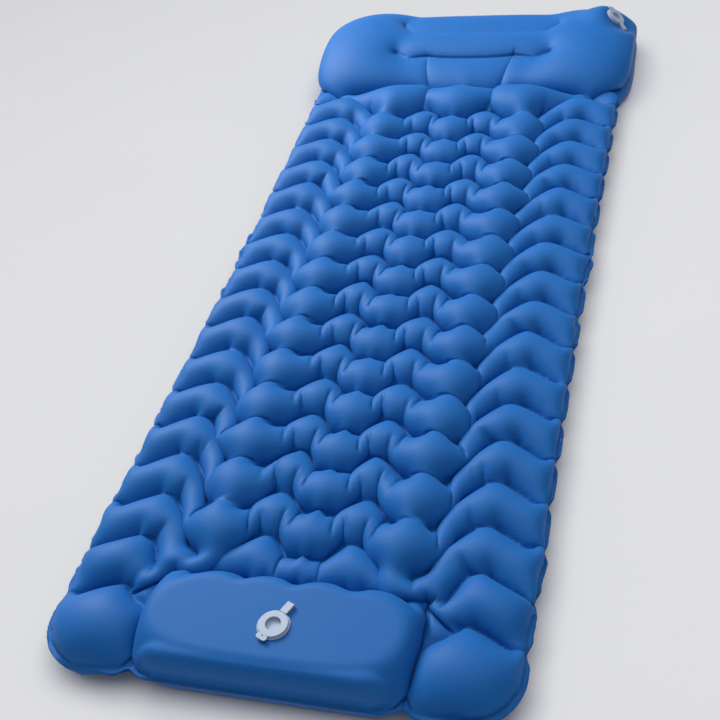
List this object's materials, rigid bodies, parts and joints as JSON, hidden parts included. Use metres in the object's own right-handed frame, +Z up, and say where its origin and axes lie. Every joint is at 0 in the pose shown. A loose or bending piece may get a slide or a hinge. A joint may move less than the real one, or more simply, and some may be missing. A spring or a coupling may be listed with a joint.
{
  "type": "air mattress",
  "caption": "Inflatable sleeping mattress with quilted air cells, a raised pillow, a foam foot pump with a capped valve, a deflation valve and side press snaps.",
  "frame": {"origin": "on the ground under the middle of the mattress", "axes": "+Y towards the pillow along the length, +X across to the right when looking towards the pillow, +Z up; the foot pump is at the -Y end"},
  "size_m": [0.7156, 1.88, 0.132],
  "materials": {
    "coated_nylon": "satin",
    "valve_silicone": "satin",
    "snap_plastic": "satin",
    "pump_foam": "matte",
    "check_valve_film": "satin"
  },
  "bodies": {
    "mattress": {"top_skin": "coated_nylon", "bottom_skin": "coated_nylon", "pump_dome_skin": "coated_nylon", "pump_foam_core": "pump_foam", "check_valve_lower_film": "check_valve_film", "deflate_valve_base": "valve_silicone", "deflate_valve_body": "valve_silicone", "deflate_valve_strap": "valve_silicone", "snap_cap_left_1": "snap_plastic", "snap_cap_left_2": "snap_plastic", "snap_cap_left_3": "snap_plastic", "snap_cap_left_4": "snap_plastic", "snap_cap_left_5": "snap_plastic", "snap_cap_left_6": "snap_plastic", "snap_cap_right_1": "snap_plastic", "snap_cap_right_2": "snap_plastic", "snap_cap_right_3": "snap_plastic", "snap_cap_right_4": "snap_plastic", "snap_cap_right_5": "snap_plastic", "snap_cap_right_6": "snap_plastic", "snap_socket_left_1": "snap_plastic", "snap_socket_left_2": "snap_plastic", "snap_socket_left_3": "snap_plastic", "snap_socket_left_4": "snap_plastic", "snap_socket_left_5": "snap_plastic", "snap_socket_left_6": "snap_plastic", "snap_stud_right_1": "snap_plastic", "snap_stud_right_2": "snap_plastic", "snap_stud_right_3": "snap_plastic", "snap_stud_right_4": "snap_plastic", "snap_stud_right_5": "snap_plastic", "snap_stud_right_6": "snap_plastic"},
    "pump_panel": {"pump_valve_base": "valve_silicone", "pump_valve_body": "valve_silicone", "pump_valve_strap": "valve_silicone"},
    "pump_cap": {"pump_valve_cap": "valve_silicone"},
    "pump_flap": {"pump_valve_flap": "valve_silicone"},
    "check_valve": {"check_valve_upper_film": "check_valve_film"},
    "deflate_cap": {"deflate_valve_cap": "valve_silicone"},
    "deflate_flap": {"deflate_valve_flap": "valve_silicone"}
  },
  "joints": [
    {"name": "pump_press", "type": "slide", "parent": "mattress", "child": "pump_panel", "axis": [0, 0, -1], "range_m": [0, 0.05], "stiffness_N_per_m": 900, "deforming": ["pump_dome_skin", "pump_foam_core"]},
    {"name": "pump_cap_hinge", "type": "hinge", "parent": "pump_panel", "child": "pump_cap", "pos_m": [0.02091, -0.81989, 0.09515], "axis": [-0.9166, 0.3998, 0], "range_deg": [0, 110], "deforming": ["pump_valve_strap"]},
    {"name": "pump_flap_lift", "type": "slide", "parent": "pump_panel", "child": "pump_flap", "axis": [0, 0, -1], "range_m": [0, 0.002], "stiffness_N_per_m": 20},
    {"name": "check_valve_hinge", "type": "hinge", "parent": "mattress", "child": "check_valve", "pos_m": [-0.06, -0.746, 0.04515], "axis": [1, 0, 0], "range_deg": [0, 10]},
    {"name": "deflate_cap_hinge", "type": "hinge", "parent": "mattress", "child": "deflate_cap", "pos_m": [0.34021, 0.81632, 0.09588], "axis": [0.5393, 0.719, -0.4383], "range_deg": [0, 120], "deforming": ["deflate_valve_strap"]},
    {"name": "deflate_flap_lift", "type": "slide", "parent": "mattress", "child": "deflate_flap", "axis": [-0.642, 0.0142, -0.7666], "range_m": [0, 0.002], "stiffness_N_per_m": 20}
  ]
}
